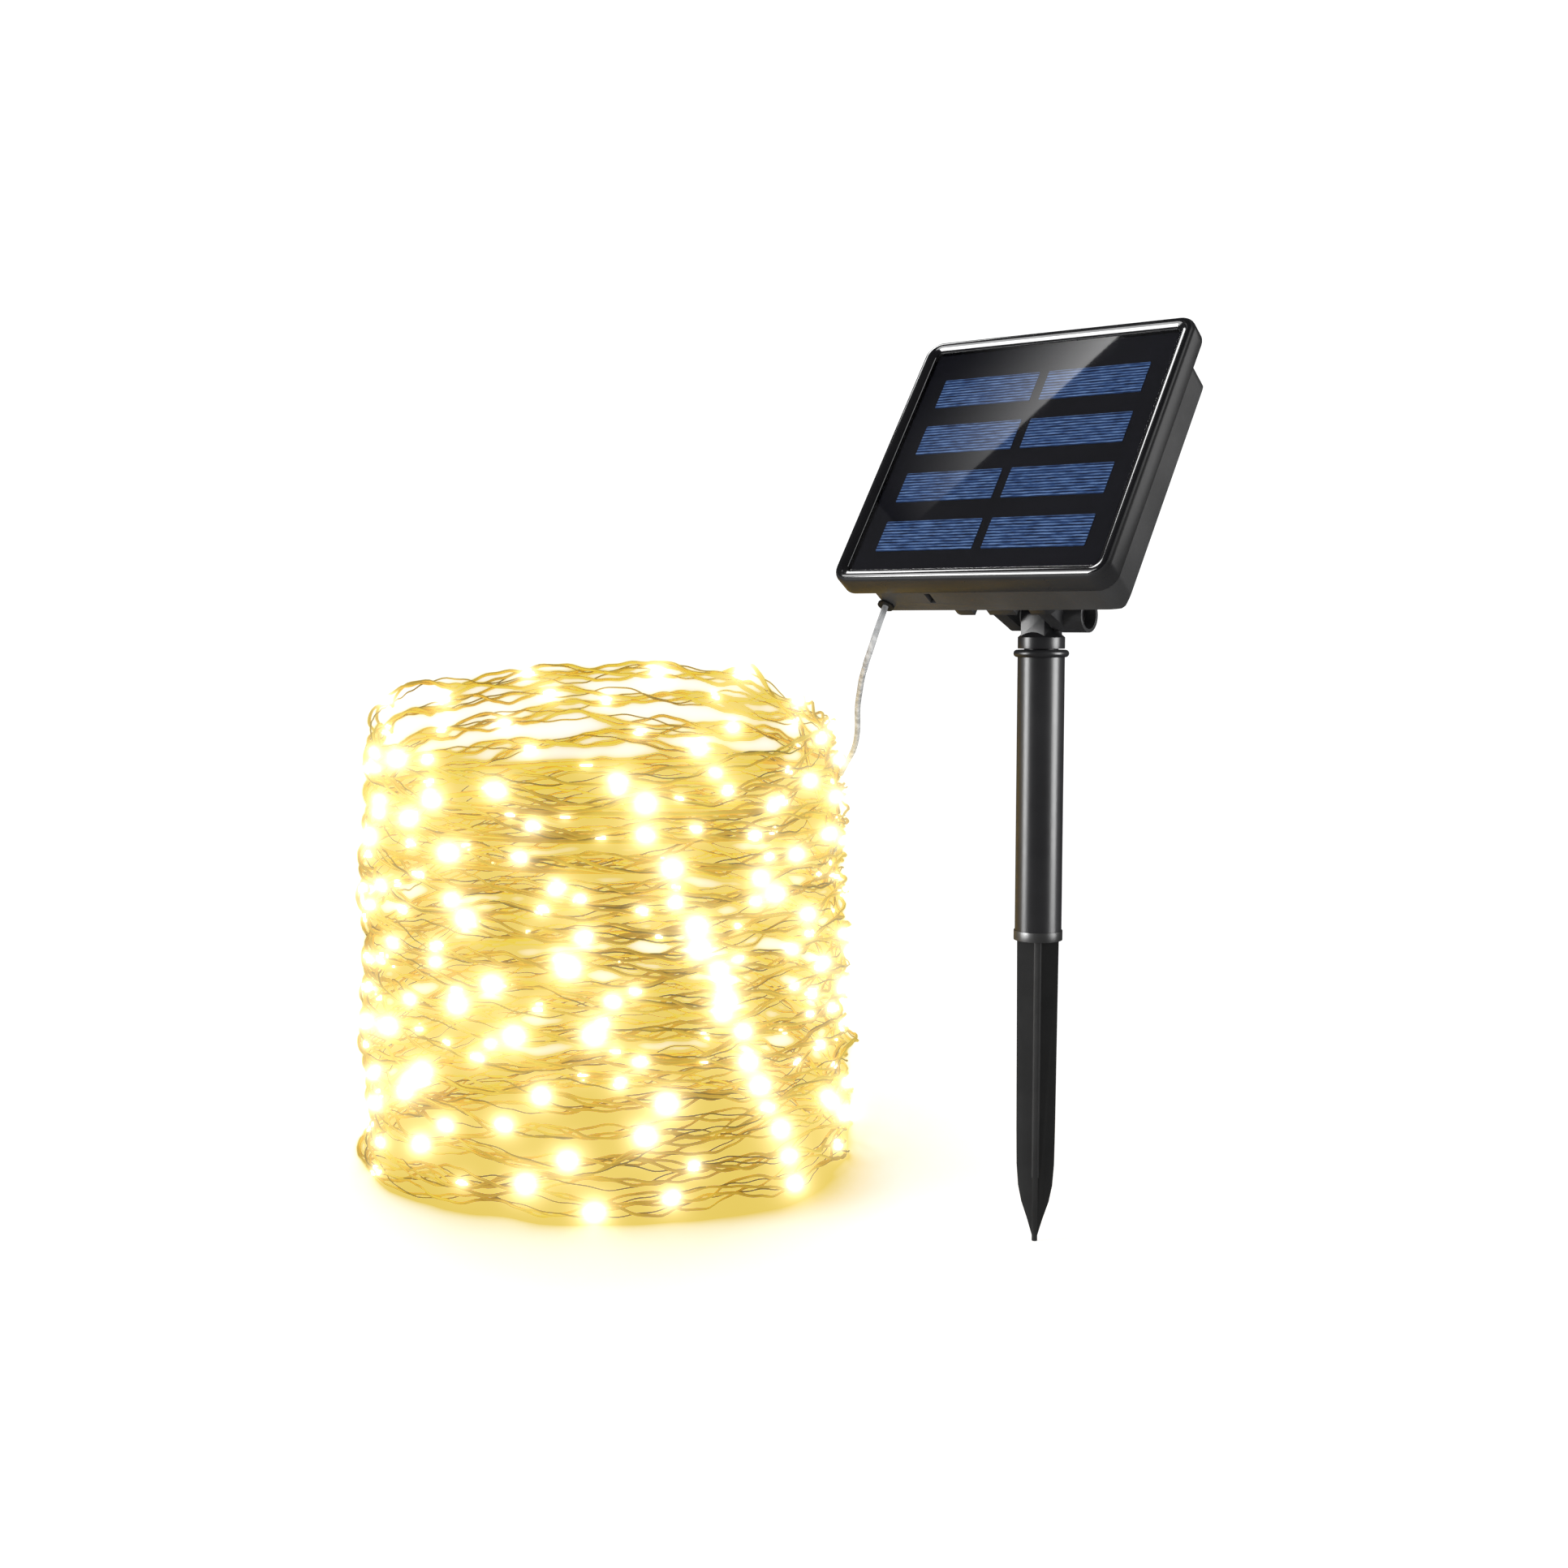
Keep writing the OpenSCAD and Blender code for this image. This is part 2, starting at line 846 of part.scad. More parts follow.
module lead_lower() {
    color([0.80, 0.82, 0.84])
        tube(lead_lower_route, lead_d/2);
}

// Height of the coil's top above a point at x, y from its middle
function coil_top(x, y) =
    coil_h + tan(coil_slant)*(y*cos(coil_view) - x*sin(coil_view));

module light_coil() {
    high = coil_top(-coil_r*sin(coil_view), coil_r*cos(coil_view));
    color([0.90, 0.78, 0.45])
    translate([coil_at[0], coil_at[1], 0])
    difference() {
        rotate_extrude($fn = 96)
            translate([coil_r - coil_wall, 0])
                square([coil_wall, high]);
        rotate([0, 0, coil_view])
        translate([0, 0, coil_h])
        rotate([coil_slant, 0, 0])
        translate([-2*coil_r, -2*coil_r, 0])
            cube([4*coil_r, 4*coil_r, 3*coil_h]);
    }
}

// Middle of light i: the lights climb round the coil at a steady step, with
// the small waves of a hand-wound string, and the top turns are narrower
function bead_at(i) =
    let (turn = 6*sin(97*i) - bead_step*i,
         share = i/(lights - 1),
         r = bead_path_r + 1.2*sin(61*i) - 6*pow(share, 6),
         x = r*cos(turn),
         y = r*sin(turn),
         top = coil_top(x, y) - bead_top_gap)
    [coil_at[0] + x, coil_at[1] + y,
     bead_low + (top - bead_low)*share + 2.2*sin(143*i)*min(1, 12*share)];

module led_beads() {
    color([1.0, 0.93, 0.70])
    for (i = [0:lights - 1])
        translate(bead_at(i))
            sphere(d = bead_d, $fn = 24);
}

// A short cylinder along the coil at the given bearing, radius and height
module on_coil(bearing, r, height, length, fat, dip = 0) {
    translate([coil_at[0], coil_at[1], height])
    rotate([0, 0, bearing])
    translate([r, 0, 0])
    rotate([90 - dip, 0, 0])
    translate([0, 0, -length/2])
        cylinder(h = length, r = fat);
}

module splice_sleeve() {
    color([0.80, 0.82, 0.84])
        on_coil(30, 97, 132, 14, 1.9);
}

module string_tip() {
    color([0.85, 0.80, 0.65])
        on_coil(56, 105, 52, 9, 1.5, -8);
}

front_bezel();
solar_glass();
solar_cells();
solar_board();
panel_tape();
housing_seal();
rear_housing();
housing_screws();
battery_door();
door_seal();
door_screws();
battery();
battery_springs();
circuit_board();
board_components();
tact_switches();
power_button();
mode_button();
lead_grommet();
panel_wires();
hinge_bracket();
bracket_screws();
hinge_bolt();
hinge_nut();
friction_washers();
stake_head();
plug_ring();
tube_collar();
stake_tube();
ground_spike();
lead_upper();
lead_lower();
splice_sleeve();
light_coil();
led_beads();
string_tip();
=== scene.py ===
"""Solar string lights: a tilting solar head on a ground stake, with a long
string of small warm lights wound into a coil. Metres, in the CAD frame."""
import math

import bmesh
import bpy
import numpy as np
from mathutils import Matrix, Vector


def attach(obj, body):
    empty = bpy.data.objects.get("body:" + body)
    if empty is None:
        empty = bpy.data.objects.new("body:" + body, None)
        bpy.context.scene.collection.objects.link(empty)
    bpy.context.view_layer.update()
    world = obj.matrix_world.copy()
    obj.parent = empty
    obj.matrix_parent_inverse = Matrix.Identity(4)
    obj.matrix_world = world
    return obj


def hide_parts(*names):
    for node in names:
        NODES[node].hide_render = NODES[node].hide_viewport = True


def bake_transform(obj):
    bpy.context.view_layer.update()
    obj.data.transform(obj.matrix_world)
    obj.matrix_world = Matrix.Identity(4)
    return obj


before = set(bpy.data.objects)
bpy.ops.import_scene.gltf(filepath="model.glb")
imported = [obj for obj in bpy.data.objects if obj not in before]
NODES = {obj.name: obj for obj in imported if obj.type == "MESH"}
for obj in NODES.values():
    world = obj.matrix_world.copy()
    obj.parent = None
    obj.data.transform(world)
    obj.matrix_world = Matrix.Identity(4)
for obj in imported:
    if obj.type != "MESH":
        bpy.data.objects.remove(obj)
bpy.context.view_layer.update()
MM = 0.001

# ---- sizes, in millimetres, as in the CAD -----------------------------------

TILT = 35
PIN = (0, 52, -34)          # the hinge pin in head coordinates
PIN_HEIGHT = 231
COIL_AT = (-209, -8)        # where the coil's axis stands
COIL_HEIGHT = 196           # on its axis
COIL_SLANT = 11             # degrees its top is tilted by
COIL_SLANT_TO = 38          # degrees from +Y towards -X, the way it rises
LIGHTS = 200
BEAD_STEP = 55.6            # degrees from light to light
BEAD_SWING = 6              # degrees either way
BEAD_R = 102.2              # from the coil's axis to the lights
BEAD_LOW = 3.5              # the lowest light's height
TOP_GAP = 5                 # from the top light to the coil's top
LEAD_R = 1.1
CURVE_STEPS = 8             # per stretch between two route points
LINE_PITCH = 1.25           # silver lines on the cells
GLASS_Y = 1.4               # front of the glass, behind the bezel's front
CELL_Y = GLASS_Y + 1
BOARD_Y = CELL_Y + 0.3
TRAY_Y = BOARD_Y + 1.4
SPLICE = (30, 97, 132)      # bearing, radius, height: where lead meets string
SPLICE_HALF = 4             # degrees from its middle to either end

# the lead's route from the head to the coil, in two stretches
LEAD_UPPER = [(-45, -31.9, 237), (-45, -33.9, 234.2), (-45, -36, 230.8),
              (-47, -37, 224.5), (-51.5, -34, 218.5), (-58, -28, 213)]
LEAD_LOWER = [(-58.2, -27.7, 212.8), (-66, -19, 208), (-73.5, -10, 203),
              (-85.5, 5, 195), (-95, 18, 185), (-104, 28, 177),
              (-113.5, 36, 170.5), (-122, 43.5, 165)]

HEAD = (Matrix.Translation((0, 0, PIN_HEIGHT * MM))
        @ Matrix.Rotation(math.radians(-TILT), 4, "X")
        @ Matrix.Scale(MM, 4)
        @ Matrix.Translation((-PIN[0], -PIN[1], -PIN[2])))


# ---- camera -------------------------------------------------------------------

LENS = 43.27
CAMERA_PLACE = (0.3493, -0.5936, 0.2291)
CAMERA_DOWN = 4.95          # degrees below level
CAMERA_TURN = 38.23         # degrees from +Y towards -X


def make_camera():
    data = bpy.data.cameras.new("camera")
    data.lens = LENS
    data.sensor_width = 36
    data.clip_start = 0.01
    camera = bpy.data.objects.new("camera", data)
    bpy.context.scene.collection.objects.link(camera)
    camera.location = CAMERA_PLACE
    camera.rotation_euler = (math.radians(90 - CAMERA_DOWN), 0,
                             math.radians(CAMERA_TURN))
    bpy.context.scene.camera = camera


make_camera()


# ---- small helpers -------------------------------------------------------------

def add_object(name, mesh):
    obj = bpy.data.objects.new(name, mesh)
    bpy.context.scene.collection.objects.link(obj)
    return obj


def finish_piece(obj, body, material, replaces=()):
    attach(obj, body)
    obj.data.materials.clear()
    obj.data.materials.append(material)
    if replaces:
        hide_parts(*replaces)
    return obj


def smooth_by_angle(mesh, degrees):
    mesh.shade_smooth()
    mesh.set_sharp_from_angle(angle=math.radians(degrees))


def ring_square(side, corner, y, steps=8):
    """Points of a rounded square in the XZ plane at depth y."""
    points = []
    for sx, sz, start in ((1, 1, 0), (-1, 1, 90), (-1, -1, 180), (1, -1, 270)):
        for k in range(steps + 1):
            a = math.radians(start + 90 * k / steps)
            points.append((sx * (side / 2 - corner) + corner * math.cos(a), y,
                           sz * (side / 2 - corner) + corner * math.sin(a)))
    return points


def loft(name, rings, angle=30):
    """Closed skin through rings of equal length, in head coordinates."""
    count = len(rings[0])
    verts = [p for ring in rings for p in ring]
    faces = []
    for i in range(len(rings) - 1):
        for k in range(count):
            a, b = i * count + k, i * count + (k + 1) % count
            faces.append((a, b, b + count, a + count))
    last = (len(rings) - 1) * count
    faces.append(tuple(range(count)))
    faces.append(tuple(range(last, last + count)))
    mesh = bpy.data.meshes.new(name)
    mesh.from_pydata(verts, [], faces)
    mesh.transform(HEAD)
    mesh.update()
    work = bmesh.new()
    work.from_mesh(mesh)
    bmesh.ops.recalc_face_normals(work, faces=work.faces)
    work.to_mesh(mesh)
    work.free()
    smooth_by_angle(mesh, angle)
    return mesh


def apply_modifiers(obj):
    bpy.context.view_layer.update()
    graph = bpy.context.evaluated_depsgraph_get()
    mesh = bpy.data.meshes.new_from_object(obj.evaluated_get(graph))
    old = obj.data
    obj.modifiers.clear()
    obj.data = mesh
    bpy.data.meshes.remove(old)


def refine(node, width, material, body, segments=3, angle=32):
    """A copy of a CAD node with its edges rounded, shown in its place."""
    mesh = NODES[node].data.copy()
    mesh.materials.clear()
    work = bmesh.new()
    work.from_mesh(mesh)
    bmesh.ops.remove_doubles(work, verts=work.verts, dist=2e-6)
    bmesh.ops.dissolve_limit(work, angle_limit=math.radians(0.6),
                             verts=work.verts, edges=work.edges)
    work.to_mesh(mesh)
    work.free()
    obj = add_object(node + "_finished", mesh)
    bevel = obj.modifiers.new("edges", "BEVEL")
    bevel.width = width * MM
    bevel.segments = segments
    bevel.limit_method = "ANGLE"
    bevel.angle_limit = math.radians(angle)
    bevel.use_clamp_overlap = True
    apply_modifiers(obj)
    smooth_by_angle(obj.data, 35)
    finish_piece(obj, body, material, (node,))


# ---- materials -----------------------------------------------------------------

class Nodes:
    """A short way to build a node material."""

    def __init__(self, name):
        self.material = bpy.data.materials.new(name)
        self.material.use_nodes = True
        self.tree = self.material.node_tree
        self.tree.nodes.clear()
        self.out = self.add("ShaderNodeOutputMaterial")

    def add(self, kind, **values):
        node = self.tree.nodes.new(kind)
        for key, value in values.items():
            setattr(node, key, value)
        return node

    def link(self, a, b):
        self.tree.links.new(a, b)

    def principled(self, **values):
        shader = self.add("ShaderNodeBsdfPrincipled")
        for key, value in values.items():
            shader.inputs[key].default_value = value
        self.link(shader.outputs[0], self.out.inputs["Surface"])
        return shader

    def noise(self, scale, detail=3.0, roughness=0.5, vector=None):
        node = self.add("ShaderNodeTexNoise")
        node.inputs["Scale"].default_value = scale
        node.inputs["Detail"].default_value = detail
        node.inputs["Roughness"].default_value = roughness
        if vector is None:
            vector = self.add("ShaderNodeTexCoord").outputs["Object"]
        self.link(vector, node.inputs["Vector"])
        return node.outputs["Fac"]

    def ramp(self, factor, stops):
        node = self.add("ShaderNodeValToRGB")
        ramp = node.color_ramp
        while len(ramp.elements) < len(stops):
            ramp.elements.new(0.5)
        for element, (place, colour) in zip(ramp.elements, stops):
            element.position = place
            element.color = (*colour, 1)
        self.link(factor, node.inputs["Fac"])
        return node.outputs["Color"]

    def span(self, value, low, high):
        """Maps 0..1 to low..high."""
        node = self.add("ShaderNodeMapRange")
        node.inputs["To Min"].default_value = low
        node.inputs["To Max"].default_value = high
        self.link(value, node.inputs["Value"])
        return node.outputs["Result"]

    def math(self, operation, a, b=None):
        node = self.add("ShaderNodeMath", operation=operation)
        for socket, value in zip(node.inputs, (a, b)):
            if value is None:
                continue
            if isinstance(value, (int, float)):
                socket.default_value = value
            else:
                self.link(value, socket)
        return node.outputs[0]

    def bump(self, height, strength, distance):
        node = self.add("ShaderNodeBump")
        node.inputs["Strength"].default_value = strength
        node.inputs["Distance"].default_value = distance
        self.link(height, node.inputs["Height"])
        return node.outputs["Normal"]


def plastic(name, dark, light, rough_low, rough_high, grain=2500, bump=0.25,
            distance=0.00004, coat=0.0, coat_rough=0.1, specular=0.5):
    """Moulded plastic: slight colour change, uneven gloss and a fine grain."""
    n = Nodes(name)
    shader = n.principled(**{"Specular IOR Level": specular, "Coat Weight": coat,
                             "Coat Roughness": coat_rough})
    n.link(n.ramp(n.noise(45, 4), [(0.3, dark), (0.7, light)]),
           shader.inputs["Base Color"])
    n.link(n.span(n.noise(180, 5, 0.6), rough_low, rough_high),
           shader.inputs["Roughness"])
    n.link(n.bump(n.noise(grain, 2), bump, distance), shader.inputs["Normal"])
    return n.material


def metal(name, colour, rough_low, rough_high):
    n = Nodes(name)
    shader = n.principled(Metallic=1.0)
    shade = [c * 0.75 for c in colour]
    n.link(n.ramp(n.noise(160, 4), [(0.35, shade), (0.7, colour)]),
           shader.inputs["Base Color"])
    n.link(n.span(n.noise(600, 3), rough_low, rough_high),
           shader.inputs["Roughness"])
    n.link(n.bump(n.noise(3000, 2), 0.15, 0.00002), shader.inputs["Normal"])
    return n.material


BEZEL = plastic("bezel_gloss_black", (0.004, 0.004, 0.005), (0.007, 0.007, 0.008),
                0.10, 0.16, 900, 0.06, 0.00002, 1.0, 0.04)
RIM = plastic("bezel_satin_black", (0.020, 0.020, 0.021), (0.028, 0.028, 0.029),
              0.24, 0.34, 1500, 0.4)
HOUSING = plastic("housing_black", (0.040, 0.040, 0.041), (0.062, 0.062, 0.063),
                  0.36, 0.5, 1100, 0.6, 0.00006)
BRACKET = plastic("bracket_black", (0.014, 0.014, 0.015), (0.022, 0.022, 0.023),
                  0.26, 0.38, 2200, 0.25)
STAKE = plastic("stake_black", (0.009, 0.009, 0.010), (0.013, 0.013, 0.014),
                0.28, 0.36, 2600, 0.25)
SPIKE = plastic("spike_black", (0.009, 0.009, 0.009), (0.013, 0.013, 0.013),
                0.30, 0.42, 1800, 0.3)
RUBBER = plastic("black_rubber", (0.012, 0.012, 0.012), (0.02, 0.02, 0.02),
                 0.55, 0.7, 3000, 0.3)
RED = plastic("button_red", (0.42, 0.02, 0.015), (0.5, 0.03, 0.02), 0.3, 0.4)
GREY = plastic("button_grey", (0.08, 0.085, 0.09), (0.1, 0.105, 0.11), 0.3, 0.4)
WHITE = plastic("white_foam", (0.65, 0.65, 0.63), (0.75, 0.75, 0.73), 0.7, 0.9)
GREEN = plastic("board_green", (0.01, 0.09, 0.03), (0.015, 0.13, 0.045), 0.3, 0.45)
CHIP = plastic("chip_black", (0.015, 0.015, 0.015), (0.025, 0.025, 0.025), 0.4, 0.55)
WIRE_RED = plastic("wire_red", (0.4, 0.02, 0.02), (0.48, 0.03, 0.03), 0.35, 0.45)
WASHER = plastic("washer_grey", (0.2, 0.2, 0.2), (0.26, 0.26, 0.26), 0.45, 0.6)
STEEL = metal("screw_steel", (0.55, 0.55, 0.57), 0.25, 0.4)


def cells_material():
    """Blue cells crossed by many fine silver lines."""
    n = Nodes("solar_cells_blue")
    shader = n.principled(Roughness=0.35, **{"Specular IOR Level": 0.1})
    uv = n.add("ShaderNodeUVMap", uv_map="cell").outputs["UV"]
    parts = n.add("ShaderNodeSeparateXYZ")
    n.link(uv, parts.inputs[0])
    # v runs over the cell's height in millimetres
    wave = n.math("SINE", n.math("MULTIPLY", parts.outputs["Y"],
                                 2 * math.pi / LINE_PITCH))
    flat = n.add("ShaderNodeMapping")
    flat.inputs["Scale"].default_value = (0.16, 1.1, 1)
    n.link(uv, flat.inputs["Vector"])
    streak = n.noise(1.0, 3, 0.6, flat.outputs["Vector"])
    half = n.add("ShaderNodeMapRange")
    half.inputs["From Min"].default_value = -1
    half.inputs["To Min"].default_value = 0.15
    half.inputs["To Max"].default_value = 0.85
    n.link(wave, half.inputs["Value"])
    level = n.math("ADD", half.outputs["Result"],
                   n.math("MULTIPLY", n.math("SUBTRACT", streak, 0.5), 1.5))
    colour = n.ramp(level, [(0.06, (0.006, 0.012, 0.035)),
                            (0.36, (0.030, 0.070, 0.19)),
                            (0.62, (0.060, 0.140, 0.36)),
                            (0.95, (0.24, 0.40, 0.72))])
    n.link(colour, shader.inputs["Base Color"])
    n.link(n.bump(level, 0.2, 0.00005), shader.inputs["Normal"])
    return n.material


def glass_material():
    """Clear cover over the cells."""
    n = Nodes("panel_glass")
    clear = n.add("ShaderNodeBsdfTransparent")
    clear.inputs["Color"].default_value = (0.97, 0.975, 0.985, 1)
    gloss = n.add("ShaderNodeBsdfGlossy")
    gloss.inputs["Roughness"].default_value = 0.02
    gloss.inputs["Color"].default_value = (1, 1, 1, 1)
    fresnel = n.add("ShaderNodeFresnel")
    fresnel.inputs["IOR"].default_value = 1.5
    inside = n.add("ShaderNodeNewGeometry").outputs["Backfacing"]
    share = n.math("MULTIPLY", n.math("MULTIPLY", fresnel.outputs[0], 2.5),
                   n.math("SUBTRACT", 1.0, inside))
    mix = n.add("ShaderNodeMixShader")
    n.link(share, mix.inputs["Fac"])
    n.link(clear.outputs[0], mix.inputs[1])
    n.link(gloss.outputs[0], mix.inputs[2])
    n.link(mix.outputs[0], n.out.inputs["Surface"])
    n.link(n.bump(n.noise(30, 1), 0.02, 0.00002), gloss.inputs["Normal"])
    return n.material


def lead_material():
    """Clear sleeve over silvery wires."""
    n = Nodes("lead_clear")
    shader = n.principled(Roughness=0.22, **{"Specular IOR Level": 0.5,
                                              "Coat Weight": 0.4})
    n.link(n.ramp(n.noise(350, 3), [(0.35, (0.42, 0.43, 0.44)),
                                    (0.65, (0.74, 0.75, 0.76))]),
           shader.inputs["Base Color"])
    n.link(n.bump(n.noise(900, 2), 0.2, 0.0001), shader.inputs["Normal"])
    return n.material


def wire_material(name, stops, glow):
    """Lacquered wire whose colour changes along its length, with a painted warm
    glow: its emission stands in for the light of the string's lights on it.
    """
    n = Nodes(name)
    shader = n.principled(Metallic=0.35, Roughness=0.4)
    colour = n.ramp(n.noise(26, 3, 0.6), stops)
    n.link(colour, shader.inputs["Base Color"])
    # painted glow: the wire's own colour glows, standing in for its lights' warm light
    n.link(colour, shader.inputs["Emission Color"])
    shader.inputs["Emission Strength"].default_value = glow
    n.link(n.bump(n.noise(1500, 2), 0.2, 0.00003), shader.inputs["Normal"])
    n.material.cycles.emission_sampling = "NONE"
    return n.material


def bead_material():
    """Warm lit resin drop."""
    n = Nodes("led_warm_drop")
    shader = n.principled(Roughness=0.15, **{"Specular IOR Level": 0.5})
    shader.inputs["Base Color"].default_value = (1.0, 0.9, 0.66, 1)
    n.link(n.ramp(n.noise(900, 1), [(0.3, (1.0, 0.84, 0.50)),
                                    (0.7, (1.0, 0.90, 0.62))]),
           shader.inputs["Emission Color"])
    shader.inputs["Emission Strength"].default_value = 14
    n.material.cycles.emission_sampling = "NONE"
    return n.material


# wire materials with a painted warm glow, also used on the wound lead
GOLD_PAINTED_GLOW = wire_material("wire_gold_painted_glow", [(0.36, (0.56, 0.36, 0.03)),
                                   (0.48, (0.74, 0.51, 0.045)),
                                   (0.62, (0.88, 0.68, 0.08))], 0.30)
BROWN_PAINTED_GLOW = wire_material("wire_brown_painted_glow", [(0.40, (0.31, 0.21, 0.02)),
                                     (0.55, (0.48, 0.34, 0.03)),
                                     (0.70, (0.72, 0.54, 0.06))], 0.20)
LEAD = lead_material()
BEAD = bead_material()


# ---- cords ----------------------------------------------------------------------

def curve_through(points, steps):
    """The CAD's smooth curve through the route's points."""
    p = [np.array(q, float) for q in points]

    def at(i):
        return p[max(0, min(len(p) - 1, i))]

    out = []
    for i in range(len(p) - 1):
        a, b, c, d = at(i - 1), p[i], p[i + 1], at(i + 2)
        for k in range(steps):
            t = k / steps
            out.append(0.5 * (2 * b + t * (c - a)
                              + t * t * (2 * a - 5 * b + 4 * c - d)
                              + t ** 3 * (3 * b - a - 3 * c + d)))
    out.append(p[-1])
    return np.array(out)


def sweep(path, radius, sides, hint):
    """Vertices and faces of a closed round tube along a path of points. Its
    ring starts square to the hint, a direction the path never takes."""
    ahead = np.gradient(path, axis=0)
    ahead /= np.linalg.norm(ahead, axis=1)[:, None]
    side = np.cross(ahead, np.array(hint))
    side /= np.linalg.norm(side, axis=1)[:, None]
    up = np.cross(side, ahead)
    turn = 2 * np.pi * np.arange(sides) / sides
    ring = (np.cos(turn)[None, :, None] * side[:, None, :]
            + np.sin(turn)[None, :, None] * up[:, None, :])
    verts = path[:, None, :] + radius * ring
    n = len(path)
    i = np.arange(n - 1)[:, None] * sides
    k = np.arange(sides)[None, :]
    k2 = (k + 1) % sides
    quads = np.stack([i + k, i + k2, i + sides + k2, i + sides + k], 2)
    faces = [tuple(q) for q in quads.reshape(-1, 4).tolist()]
    faces.append(tuple(range(sides - 1, -1, -1)))
    faces.append(tuple((n - 1) * sides + j for j in range(sides)))
    return verts.reshape(-1, 3), faces


def tube_mesh(name, strands, sides, hint=(0.0, 1.0, 0.3)):
    """One mesh of several tubes, each (path, radius) in millimetres."""
    verts, faces, base = [], [], 0
    for path, radius in strands:
        v, f = sweep(path, radius, sides, hint)
        verts.append(v)
        faces += [tuple(base + i for i in face) for face in f]
        base += len(v)
    mesh = bpy.data.meshes.new(name)
    mesh.from_pydata((np.concatenate(verts) * MM).tolist(), [], faces)
    mesh.shade_smooth()
    mesh.update()
    return mesh


def make_lead(name, node, route, bodies, **more):
    """One stretch of the lead, a tube along its route."""
    path = curve_through(route, CURVE_STEPS)
    piece = add_object(name, tube_mesh(name, [(path, LEAD_R)], 16))
    piece.data.materials.append(LEAD)
    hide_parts(node)
    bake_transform(piece)


def coil_top(x, y):
    """Height of the coil's top at x, y measured from its axis."""
    a = math.radians(COIL_SLANT_TO)
    return (COIL_HEIGHT + math.tan(math.radians(COIL_SLANT))
            * (y * np.cos(a) - x * np.sin(a)))


def around(turn, r, z):
    """Points on the coil from bearings in degrees, radii and heights."""
    a = np.radians(turn)
    return np.stack([COIL_AT[0] + r * np.cos(a), COIL_AT[1] + r * np.sin(a),
                     np.broadcast_to(z, a.shape)], 1)


def string_at(s):
    """The string's middle line: s counts the lights up from the bottom."""
    s = np.asarray(s, float)
    deg = np.radians
    share = s / (LIGHTS - 1)
    wander = np.minimum(1, 12 * share)      # none at the foot, on the floor
    turn = BEAD_SWING * np.sin(deg(97 * s)) - BEAD_STEP * s
    r = BEAD_R + 1.2 * np.sin(deg(61 * s)) - 6 * share ** 6
    # from light to light it cuts in a little
    r = r - 1.6 * np.sin(np.pi * s) ** 2 * (1 + np.sin(deg(23 * s)))
    x, y = r * np.cos(deg(turn)), r * np.sin(deg(turn))
    z = (BEAD_LOW + (coil_top(x, y) - TOP_GAP - BEAD_LOW) * share
         + 2.2 * np.sin(deg(143 * s)) * wander
         + 0.8 * np.sin(2 * np.pi * s) * wander)
    return around(turn, r, z)


def tail_path(step=0.02):
    """The string's free end: round the coil's foot, up its front and on to its
    back."""
    s = np.arange(-7.6, 0, step)
    turn = BEAD_SWING * np.sin(np.radians(97 * s)) - BEAD_STEP * s
    z = np.interp(turn, [0, 60, 150, 230, 290, 308, 322, 340, 365, 395, 415, 430],
                  [3.5, 3.6, 4, 6, 14, 21, 27, 36, 44, 47, 51, 53])
    kernel = np.ones(41) / 41
    z = np.convolve(np.pad(z, 20, mode="edge"), kernel, "valid")
    r = np.interp(turn, [0, 200, 300, 430], [BEAD_R, 104, 105.2, 105.4])
    return around(turn, r, z)


def head_path(step=0.02):
    """The string's first stretch, from the splice to the top light."""
    first = string_at([LIGHTS - 1])[0]
    bearing = math.degrees(math.atan2(first[1] - COIL_AT[1], first[0] - COIL_AT[0]))
    bearing %= 360
    last = SPLICE[0] + SPLICE_HALF
    s = np.linspace(0, 1, int((bearing - last) / BEAD_STEP / step))
    turn = bearing + (last - bearing) * s
    r = BEAD_R - 6 + (SPLICE[1] - BEAD_R + 6) * s
    x, y = r * np.cos(np.radians(turn)), r * np.sin(np.radians(turn))
    top = coil_top(x, y) - TOP_GAP
    z = first[2] + (top - top[0]) * (1 - s)
    z = z + (SPLICE[2] - z) * s * s * (3 - 2 * s)
    return around(turn, r, z)[1:]


STRING_STEP = 2.2           # between the points of its path
TWIST_R = 2.35              # from the string's middle line to each wire
WIRE_R = (0.72, 0.66, 0.36)
WIRE_LOW = 0.75             # lowest a wire's middle may lie above the floor


